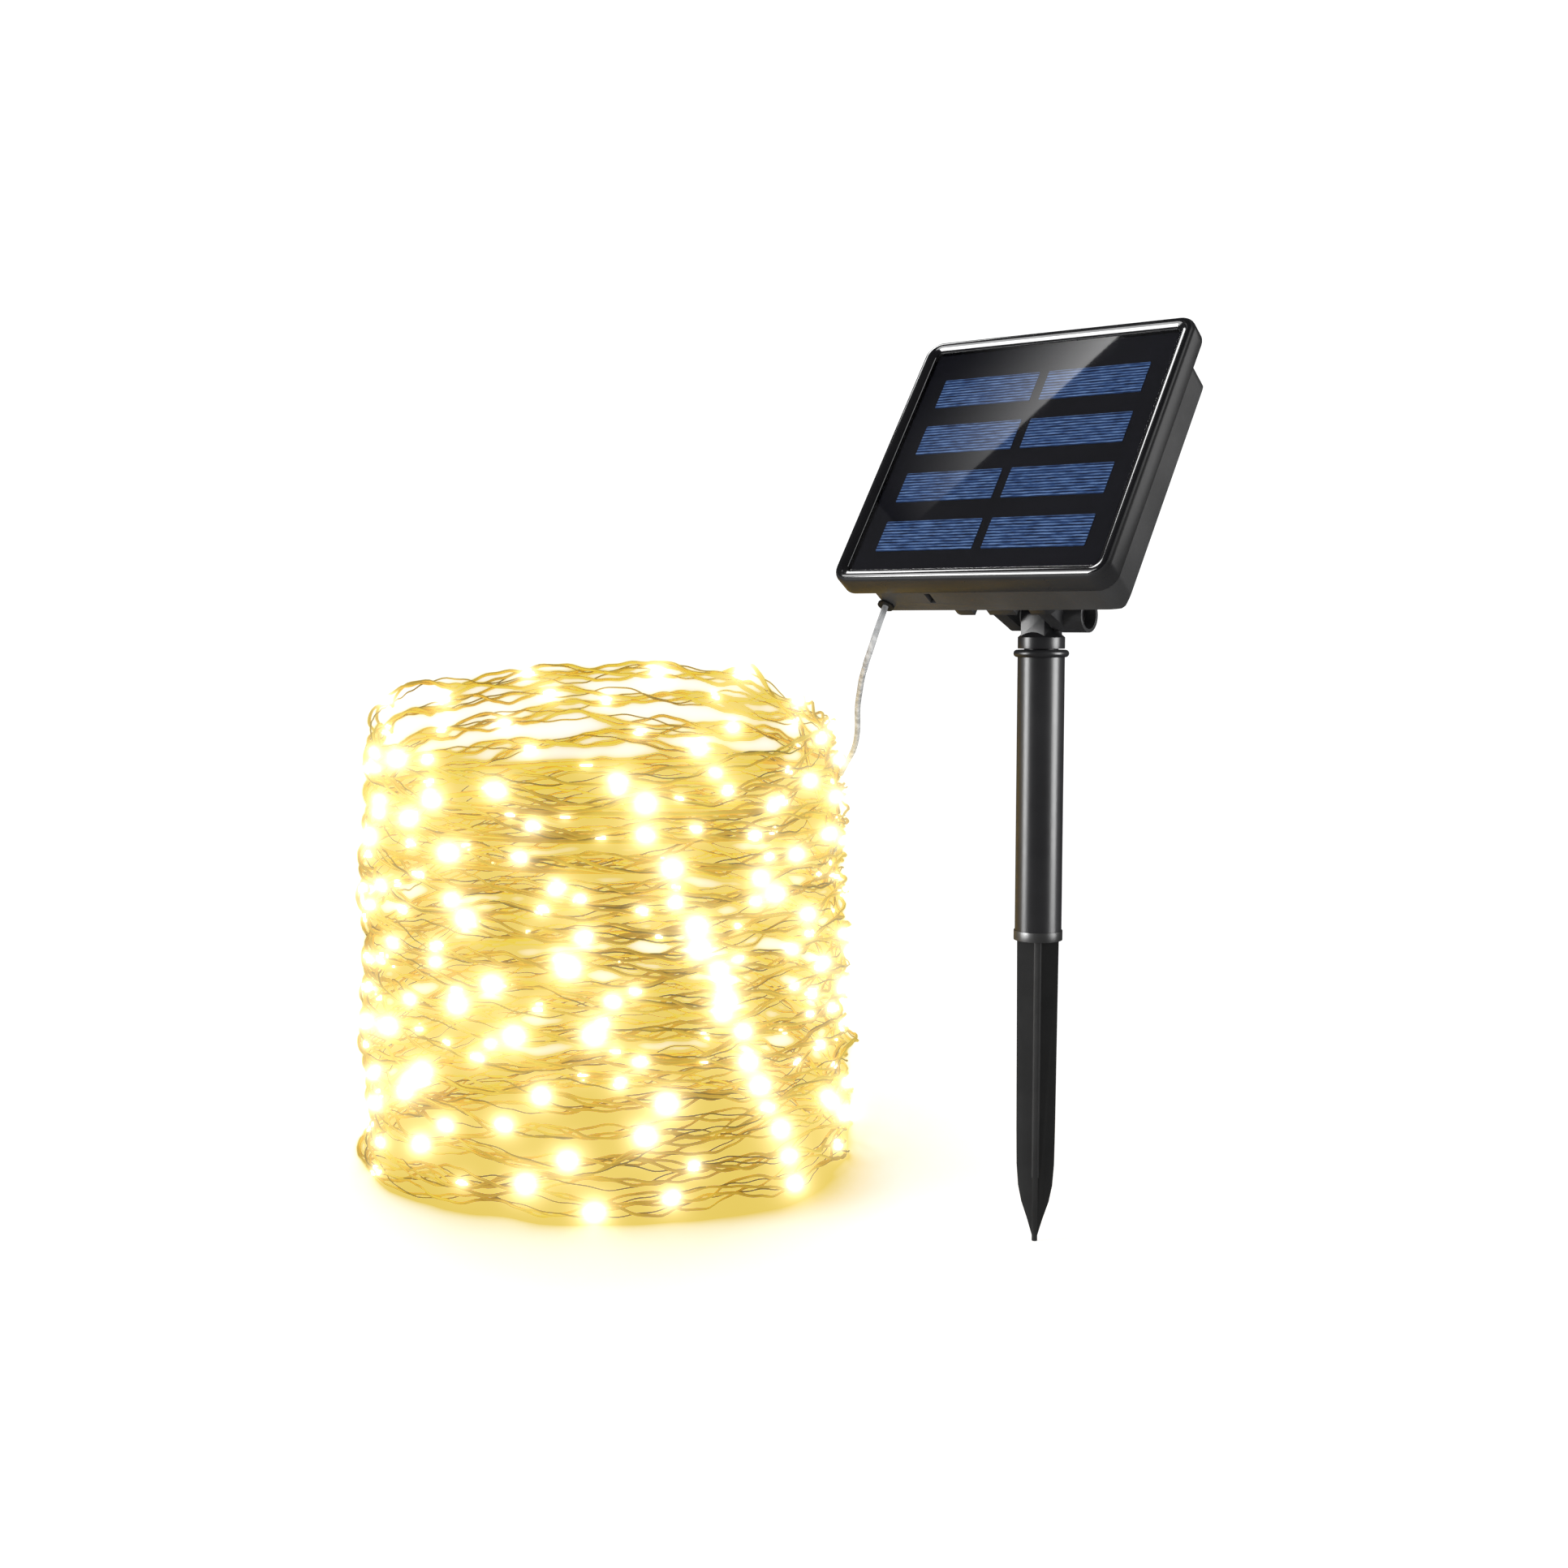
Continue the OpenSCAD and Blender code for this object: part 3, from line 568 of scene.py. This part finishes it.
def make_string():
    """Three loosely twisted wires along the whole string, and its lights."""
    body = string_at(np.arange(0, LIGHTS - 1 + 1e-9, 0.021))
    line = np.concatenate([tail_path(), body, head_path()])
    # even steps along its length
    steps = np.linalg.norm(np.diff(line, axis=0), axis=1)
    run = np.concatenate([[0], np.cumsum(steps)])
    count = int(run[-1] / STRING_STEP)
    even = np.linspace(0, run[-1], count)
    line = np.stack([np.interp(even, run, line[:, i]) for i in range(3)], 1)
    out = line - np.array([COIL_AT[0], COIL_AT[1], 0])
    out[:, 2] = 0
    out /= np.linalg.norm(out, axis=1)[:, None]
    up = np.array([0, 0, 1.0])
    strands = []
    for k in range(3):
        # one turn in 52, 61 or 70 mm, unevenly, with fine crinkles
        turns = even / (52.0 + 9 * k) + k / 3
        phase = 2 * np.pi * turns + 1.5 * np.sin(even / 47 + 2 * k)
        reach = TWIST_R + 0.5 * np.sin(even / 31 + 1.7 * k)
        kink = 0.3 * np.sin(even / 2.1 + 4 * np.sin(even / 67 + k))
        strands.append(line + (reach * np.cos(phase))[:, None] * out
                       + (reach * np.sin(phase) + kink)[:, None] * up)
    for s in strands:
        s[:, 2] = np.maximum(s[:, 2], WIRE_LOW)
    pair = add_object("string_wires", tube_mesh("string_wires",
                      [(strands[0], WIRE_R[0]), (strands[1], WIRE_R[1])], 4,
                      (0, 0, 1.0)))
    finish_piece(pair, "stake", GOLD_PAINTED_GLOW, ("light_coil",))
    third = add_object("string_third_wire", tube_mesh("string_third_wire",
                       [(strands[2], WIRE_R[2])], 4, (0, 0, 1.0)))
    finish_piece(third, "stake", BROWN_PAINTED_GLOW)
    beads = make_beads()


def make_beads():
    """Small drops of clear resin, one around each light."""
    ball = bmesh.new()
    bmesh.ops.create_icosphere(ball, subdivisions=2, radius=1)
    unit = np.array([v.co[:] for v in ball.verts])
    tris = [tuple(v.index for v in f.verts) for f in ball.faces]
    ball.free()
    s = np.arange(LIGHTS, dtype=float)
    centre = string_at(s)
    ahead = string_at(s + 0.02) - string_at(s - 0.02)
    ahead /= np.linalg.norm(ahead, axis=1)[:, None]
    out = centre - np.array([COIL_AT[0], COIL_AT[1], 0])
    out[:, 2] = 0
    out /= np.linalg.norm(out, axis=1)[:, None]
    up = np.cross(ahead, out)
    verts, faces = [], []
    for i in range(LIGHTS):
        long = 2.9 + 0.35 * math.sin(2.1 * i)
        wide = 1.85 + 0.2 * math.sin(3.7 * i)
        local = unit * np.array([long, wide, wide])
        local[:, 1] += 0.25 * np.sin(1.4 * unit[:, 0] + i)
        v = (centre[i] + 0.5 * out[i] + local[:, :1] * ahead[i]
             + local[:, 1:2] * out[i] + local[:, 2:] * up[i])
        base = len(verts) * len(unit)
        verts.append(v)
        faces += [tuple(base + j for j in t) for t in tris]
    mesh = bpy.data.meshes.new("led_drops")
    mesh.from_pydata((np.concatenate(verts) * MM).tolist(), [], faces)
    mesh.shade_smooth()
    mesh.update()
    beads = add_object("led_drops", mesh)
    # the lamps inside the coil give the drops' light
    beads.visible_diffuse = False
    beads.visible_glossy = False
    return finish_piece(beads, "stake", BEAD, ("led_beads",))


def make_wound_lead():
    """The rest of the lead, wound into the top of the coil."""
    t = np.linspace(0, 1, 420)
    # bearing, radius and height where it meets the coil; then three turns
    start, radius, height = 30.6, 101.2, 165
    turn = start + (3 * 360 + SPLICE[0] - start - SPLICE_HALF) * t
    inward = np.exp(-t * 40)
    r = SPLICE[1] + (radius - SPLICE[1]) * inward
    z = (height + (SPLICE[2] - height) * t
         + 2 * np.sin(np.radians(turn * 1.7)) * t * (1 - t))
    line = around(turn, r, z)
    line[0] = LEAD_LOWER[-1]
    piece = add_object("lead_wound_tube", tube_mesh("lead_wound_tube",
                                                    [(line, LEAD_R)], 10))
    finish_piece(piece, "stake", GOLD_PAINTED_GLOW)


make_lead("lead_upper_tube", "lead_upper", LEAD_UPPER, ("head", "swivel"),
          with_pieces=["lead_grommet"])
make_lead("lead_lower_tube", "lead_lower", LEAD_LOWER, ("swivel", "stake"))
make_wound_lead()
make_string()


# ---- solar head ------------------------------------------------------------------

FIRST_SATIN_RING = 11


def make_bezel():
    """Glossy square frame with a rounded rim round the panel's tray."""
    sq = ring_square
    # tray wall, then the slope from the glass up to the crest
    rings = [sq(99.9, 2.0, TRAY_Y), sq(99.9, 2.0, GLASS_Y + 0.2),
             sq(100.0, 2.0, GLASS_Y), sq(100.44, 2.3, 1.16),
             sq(101.1, 2.7, 0.88), sq(101.9, 3.1, 0.62), sq(103.2, 3.8, 0.29),
             sq(104.6, 4.3, 0.06), sq(105.4, 4.5, 0.0)]
    # rounded outer edge
    for a in range(0, 91, 15):
        rings.append(sq(105.8 + 4.2 * math.sin(math.radians(a)),
                        4.6 + 1.8 * math.sin(math.radians(a)),
                        2.1 - 2.1 * math.cos(math.radians(a))))
    rings += [sq(110, 6.4, 4.0), sq(110, 6.4, 8.2), sq(109.6, 6.2, 8.8),
              sq(108.8, 6.0, 9.0), sq(100.6, 7.2, 9.0), sq(100.2, 7.0, 8.6),
              sq(100.2, 7.0, 5.3)]
    mesh = loft("bezel_shell", rings, 40)
    finish_piece(add_object("bezel_shell", mesh), "head", BEZEL,
                 ("front_bezel",))
    # gloss on the front, satin from the rim's outer rounding back
    mesh.materials.append(RIM)
    count = len(rings[0])
    for face in mesh.polygons:
        face.material_index = int(face.index // count >= FIRST_SATIN_RING)


COLUMN_PITCH = 43.8
ROW_PITCH = 21.7
CELLS_DOWN = 2              # their middle, below the panel's


def cell_quads():
    """Each cell as a thin raised plate with its own face coordinates."""
    mesh = bpy.data.meshes.new("cells")
    verts, faces, coords = [], [], []
    for column in (-1, 1):
        for row in range(4):
            cx = column * COLUMN_PITCH / 2
            cz = (row - 1.5) * ROW_PITCH - CELLS_DOWN
            base = len(verts)
            # half a cell's width and height, and its cut corner
            w, h, c = 20.0, 6.5, 0.25
            ring = [(-w + c, -h), (w - c, -h), (w, -h + c), (w, h - c),
                    (w - c, h), (-w + c, h), (-w, h - c), (-w, -h + c)]
            for y in (BOARD_Y - 0.02, CELL_Y):
                for dx, dz in ring:
                    verts.append((cx + dx, y, cz + dz))
            n = len(ring)
            faces.append(tuple(base + n + k for k in range(n)))
            coords.append([(dx + 50 * column, dz + 30 * row) for dx, dz in ring])
            for k in range(n):
                j = (k + 1) % n
                faces.append((base + k, base + j, base + n + j, base + n + k))
                coords.append([(0, 0)] * 4)
    mesh.from_pydata(verts, [], faces)
    layer = mesh.uv_layers.new(name="cell")
    for face, uv in zip(mesh.polygons, coords):
        for loop, value in zip(face.loop_indices, uv):
            layer.data[loop].uv = value
    mesh.transform(HEAD)
    mesh.update()
    return mesh


def make_panel():
    cells = add_object("cells", cell_quads())
    finish_piece(cells, "head", cells_material(), ("solar_cells",))
    board = plastic("board_black", (0.011, 0.011, 0.015), (0.014, 0.014, 0.020),
                    0.35, 0.5, 1500, 0.1, specular=0.05)
    mesh = loft("panel_board", [ring_square(99.6, 1.8, y)
                                for y in (BOARD_Y, BOARD_Y + 1)])
    finish_piece(add_object("panel_board", mesh), "head", board,
                 ("solar_board",))
    glass = loft("panel_cover", [ring_square(99.2, 1.6, GLASS_Y),
                                 ring_square(99.8, 1.9, GLASS_Y + 0.3),
                                 ring_square(99.8, 1.9, GLASS_Y + 0.95)])
    finish_piece(add_object("panel_cover", glass), "head",
                 glass_material(), ("solar_glass",))


make_bezel()
make_panel()
refine("rear_housing", 0.8, HOUSING, "head")
refine("battery_door", 0.3, HOUSING, "head")
refine("hinge_bracket", 0.35, BRACKET, "head")
refine("stake_head", 0.35, STAKE, "swivel")
refine("ground_spike", 0.3, SPIKE, "stake")

CAD_LOOKS = {
    "panel_tape": WHITE, "housing_seal": RUBBER, "housing_screws": STEEL,
    "door_seal": RUBBER, "door_screws": STEEL, "battery": WHITE,
    "battery_springs": STEEL, "circuit_board": GREEN,
    "board_components": CHIP, "tact_switches": CHIP, "power_button": RED,
    "mode_button": GREY, "lead_grommet": RUBBER, "panel_wires": WIRE_RED,
    "bracket_screws": STEEL, "hinge_bolt": STEEL, "hinge_nut": STEEL,
    "friction_washers": WASHER, "plug_ring": RUBBER, "tube_collar": STAKE,
    "stake_tube": STAKE, "splice_sleeve": LEAD, "string_tip": LEAD,
}
for node_name, look in CAD_LOOKS.items():
    data = NODES[node_name].data
    if not data.materials:
        data.materials.append(look)
    for index in range(len(data.materials)):
        data.materials[index] = look


# ---- floor, lights and world --------------------------------------------------------

WHITE_LEVEL = 1.15          # the empty background, as the camera sees it
EVEN_LEVEL = 0.45           # the world's light on matt surfaces
GLOSS_LEVEL = 0.04          # and in reflections
FLOOR_HALF = 6.0
FLOOR_Z = -0.0002           # just under the pieces that stand on it
FLOOR_GLOW = 0.62


def make_floor():
    mesh = bpy.data.meshes.new("floor")
    mesh.from_pydata([(x * FLOOR_HALF, y * FLOOR_HALF, FLOOR_Z)
                      for x, y in ((-1, -1), (1, -1), (1, 1), (-1, 1))],
                     [], [(0, 1, 2, 3)])
    floor = add_object("floor", mesh)
    floor.visible_glossy = False
    n = Nodes("floor_white_painted_glow")
    shader = n.principled(Roughness=0.9, **{"Specular IOR Level": 0.1})
    # an oval pool of painted warm light, drawn out in front of the coil: the floor's
    #     colour and glow are warmer there, standing in for the coil's light on the
    #     floor
    painted_pool = n.add("ShaderNodeMapping", vector_type="TEXTURE")
    painted_pool.inputs["Location"].default_value = (COIL_AT[0] * MM + 0.030,
                                             COIL_AT[1] * MM - 0.040, 0)
    painted_pool.inputs["Rotation"].default_value = (0, 0, math.radians(-48))
    painted_pool.inputs["Scale"].default_value = (1.9, 1, 1)
    n.link(n.add("ShaderNodeTexCoord").outputs["Object"], painted_pool.inputs["Vector"])
    far = n.add("ShaderNodeVectorMath", operation="LENGTH")
    n.link(painted_pool.outputs[0], far.inputs[0])
    reach = n.add("ShaderNodeMapRange")
    reach.inputs["From Min"].default_value = 0.06
    reach.inputs["From Max"].default_value = 0.125
    n.link(far.outputs["Value"], reach.inputs["Value"])
    colour = n.ramp(reach.outputs["Result"], [(0.0, (1.0, 0.95, 0.88)),
                                              (0.6, (1.0, 0.975, 0.93)),
                                              (1.0, (1.0, 1.0, 1.0))])
    n.link(colour, shader.inputs["Base Color"])
    # the floor glows evenly white, and warmer in the painted pool of light
    n.link(colour, shader.inputs["Emission Color"])
    shader.inputs["Emission Strength"].default_value = FLOOR_GLOW
    n.material.cycles.emission_sampling = "NONE"
    floor.data.materials.append(n.material)


def only_on(light, *names):
    """Lets a lamp light no other pieces than these."""
    lit = bpy.data.collections.new(light.name + "_lit")
    for name in names:
        lit.objects.link(bpy.data.objects[name])
    light.light_linking.receiver_collection = lit


def area_light(name, place, target, size, size_y, watts, lit):
    data = bpy.data.lights.new(name, "AREA")
    data.shape = "RECTANGLE"
    data.size = size
    data.size_y = size_y
    data.energy = watts
    light = bpy.data.objects.new(name, data)
    bpy.context.scene.collection.objects.link(light)
    light.location = place
    aim = Vector(target) - Vector(place)
    light.rotation_euler = aim.to_track_quat("-Z", "Y").to_euler()
    light.visible_camera = False
    if lit:
        only_on(light, *lit)


def make_world():
    """White to the camera, even to matt surfaces and dim to glossy ones."""
    world = bpy.data.worlds.new("studio")
    bpy.context.scene.world = world
    world.use_nodes = True
    tree = world.node_tree
    tree.nodes.clear()
    out = tree.nodes.new("ShaderNodeOutputWorld")
    path = tree.nodes.new("ShaderNodeLightPath")
    last = None
    for strength, ray in ((EVEN_LEVEL, None), (GLOSS_LEVEL, "Is Glossy Ray"),
                          (WHITE_LEVEL, "Is Camera Ray")):
        colour = tree.nodes.new("ShaderNodeBackground")
        colour.inputs["Color"].default_value = (1, 1, 1, 1)
        colour.inputs["Strength"].default_value = strength
        if last is None:
            last = colour
            continue
        mix = tree.nodes.new("ShaderNodeMixShader")
        tree.links.new(path.outputs[ray], mix.inputs["Fac"])
        tree.links.new(last.outputs[0], mix.inputs[1])
        tree.links.new(colour.outputs[0], mix.inputs[2])
        last = mix
    tree.links.new(last.outputs[0], out.inputs["Surface"])


CARD_WIDTH = 0.09
CARD_GLOW = 2.6


def make_sheen_card():
    """A slanted card above, whose reflection crosses the glass. It is
    brightest along one sharp edge and fades away from it."""
    # the ends of the bright edge
    high = Vector((-0.434, -0.151, 1.188))
    low = Vector((-0.588, -0.270, 1.062))
    along = (high - low).normalized()
    across = Vector((-0.539, 0.834, -0.125))
    corners = [low - 0.02 * along, high + 0.05 * along]
    corners += [corners[1] + CARD_WIDTH * across, corners[0] + CARD_WIDTH * across]
    mesh = bpy.data.meshes.new("sheen_card")
    mesh.from_pydata([tuple(c) for c in corners], [], [(0, 1, 2, 3)])
    layer = mesh.uv_layers.new(name="fade")
    for loop, value in zip(layer.data, ((0, 0), (0, 1), (1, 1), (1, 0))):
        loop.uv = value
    card = add_object("sheen_card", mesh)
    card.visible_camera = False
    card.visible_diffuse = False
    card.visible_shadow = False
    n = Nodes("sheen_card")
    glow = n.add("ShaderNodeEmission")
    n.link(glow.outputs[0], n.out.inputs["Surface"])
    parts = n.add("ShaderNodeSeparateXYZ")
    n.link(n.add("ShaderNodeUVMap", uv_map="fade").outputs["UV"], parts.inputs[0])
    aside = n.math("POWER", n.math("SUBTRACT", 1.0, parts.outputs["X"]), 2.4)
    level = n.math("MULTIPLY", aside, n.math("POWER", parts.outputs["Y"], 1.3))
    n.link(n.math("MULTIPLY", level, CARD_GLOW), glow.inputs["Strength"])
    mesh.materials.append(n.material)


COIL_LAMPS = 4
COIL_LAMP_WATTS = 0.10


def make_coil_lamps():
    """The lights' own glow on the inside of the coil."""
    for k in range(COIL_LAMPS):
        data = bpy.data.lights.new("coil_warm", "POINT")
        data.energy = COIL_LAMP_WATTS
        data.color = (1.0, 0.76, 0.40)
        data.shadow_soft_size = 0.03
        lamp = bpy.data.objects.new("coil_warm", data)
        bpy.context.scene.collection.objects.link(lamp)
        lamp.location = (COIL_AT[0] * MM, COIL_AT[1] * MM, 0.03 + 0.045 * k)
        lamp.visible_camera = False
        only_on(lamp, "string_wires", "string_third_wire", "led_drops",
                "lead_wound_tube")


make_floor()
make_world()
make_sheen_card()
make_coil_lamps()
HEAD_MIDDLE = (0, 0, 0.28)
HEAD_PIECES = ("bezel_shell", "rear_housing_finished")
STAKE_PIECES = ("stake_tube", "tube_collar", "plug_ring", "stake_head_finished",
                "ground_spike_finished", "hinge_bracket_finished")
# name, place, target, width, height, watts, the pieces lit (none named: all)
LAMPS = [
    ("key", (-0.9, -1.1, 1.3), (0, 0, 0.2), 0.8, 0.8, 9, ()),
    ("rim_low", (-0.58, -0.95, 0.73), HEAD_MIDDLE, 0.36, 0.46, 7, HEAD_PIECES),
    ("side", (0.75, 0.95, 0.5), HEAD_MIDDLE, 0.7, 0.5, 1.3, HEAD_PIECES),
    ("rim_back", (-0.73, 0.22, 1.07), HEAD_MIDDLE, 0.42, 0.30, 2.4,
     HEAD_PIECES),
    ("rim_right", (0.75, -0.05, 1.15), HEAD_MIDDLE, 0.3, 0.3, 0.8,
     HEAD_PIECES),
    ("lip", (-0.33, -0.55, 0.08), (0, -0.05, 0.24), 0.3, 0.06, 0.25,
     HEAD_PIECES),
    ("right_strip", (1.16, 0.32, 0.35), (0, 0, 0.2), 0.62, 0.9, 30,
     STAKE_PIECES),
    ("left_strip", (-0.83, -0.87, 0.35), (0, 0, 0.2), 0.46, 0.9, 26,
     STAKE_PIECES),
    ("spike_side", (-0.42, -0.80, 0.22), (0, 0, 0.06), 0.2, 0.3, 14,
     ("ground_spike_finished",)),
]
for lamp_row in LAMPS:
    area_light(*lamp_row)

view = bpy.context.scene.view_settings
view.view_transform = "Standard"
view.look = "None"


# the veil is painted warm glow: where the coil's warmth spreads, the image is pulled
# towards the tint
VEIL_SIZE = 0.08
VEIL_SHARE = 3.6            # the veil's strength for the warmth around a spot
VEIL_EDGE = 2.5             # how fast it thins out
PAINTED_GLOW_TINT = (0.80, 0.60, 0.12)
BLOOM_FROM = 2.0            # brightness that blooms white
HALOS = ((0.02, 2.0), (0.045, 1.5), (0.12, 0.5))    # size and part of each
MIST_SIZE = 0.06
MIST_PART = 3.0


def make_glare():
    """The camera's bloom over a painted warm veil: the lit coil is tinted towards
    gold, standing in for its lights' glow. White halos round its lights, and white
    mist where the veil is thin."""
    scene = bpy.context.scene
    scene.use_nodes = True
    tree = scene.node_tree
    tree.nodes.clear()

    def node(kind, **values):
        new = tree.nodes.new("CompositorNode" + kind)
        for key, value in values.items():
            setattr(new, key, value)
        return new

    def bloom(image, threshold, size):
        new = node("Glare", glare_type="BLOOM")
        for key, value in (("Threshold", threshold), ("Strength", 1.0),
                           ("Size", size)):
            new.inputs[key].default_value = value
        tree.links.new(image, new.inputs["Image"])
        return new.outputs["Glare"]

    def mix(kind, share, a, b):
        new = node("MixRGB", blend_type=kind)
        for socket, value in zip(new.inputs, (share, a, b)):
            if isinstance(value, (int, float)):
                socket.default_value = value
            elif isinstance(value, tuple):
                socket.default_value = (*value, 1)
            else:
                tree.links.new(value, socket)
        return new.outputs["Image"]

    source = node("RLayers").outputs["Image"]
    clipped = mix("DARKEN", 1.0, source, (WHITE_LEVEL,) * 3)
    parts = node("SeparateColor")
    tree.links.new(clipped, parts.inputs["Image"])
    warmth = node("Math", operation="SUBTRACT", use_clamp=True)
    tree.links.new(parts.outputs["Red"], warmth.inputs[0])
    tree.links.new(parts.outputs["Blue"], warmth.inputs[1])
    spread = bloom(warmth.outputs[0], 0.0, VEIL_SIZE)
    share = node("Math", operation="MULTIPLY", use_clamp=True)
    tree.links.new(spread, share.inputs[0])
    share.inputs[1].default_value = VEIL_SHARE
    # thins out towards the coil's sides
    thinned = node("Math", operation="POWER", use_clamp=True)
    tree.links.new(share.outputs[0], thinned.inputs[0])
    thinned.inputs[1].default_value = VEIL_EDGE
    # painted warm glow: darken towards the warm tint over the lit coil
    final = mix("DARKEN", thinned.outputs[0], clipped, PAINTED_GLOW_TINT)
    for size, part in HALOS:
        final = mix("ADD", part, final, bloom(source, BLOOM_FROM, size))
    # white mist where the veil is thin
    edge = node("Math", operation="MULTIPLY_ADD")
    tree.links.new(thinned.outputs[0], edge.inputs[0])
    edge.inputs[1].default_value = -MIST_PART
    edge.inputs[2].default_value = MIST_PART
    final = mix("ADD", edge.outputs[0], final,
                bloom(source, BLOOM_FROM, MIST_SIZE))
    tree.links.new(final, node("Composite").inputs["Image"])


make_glare()
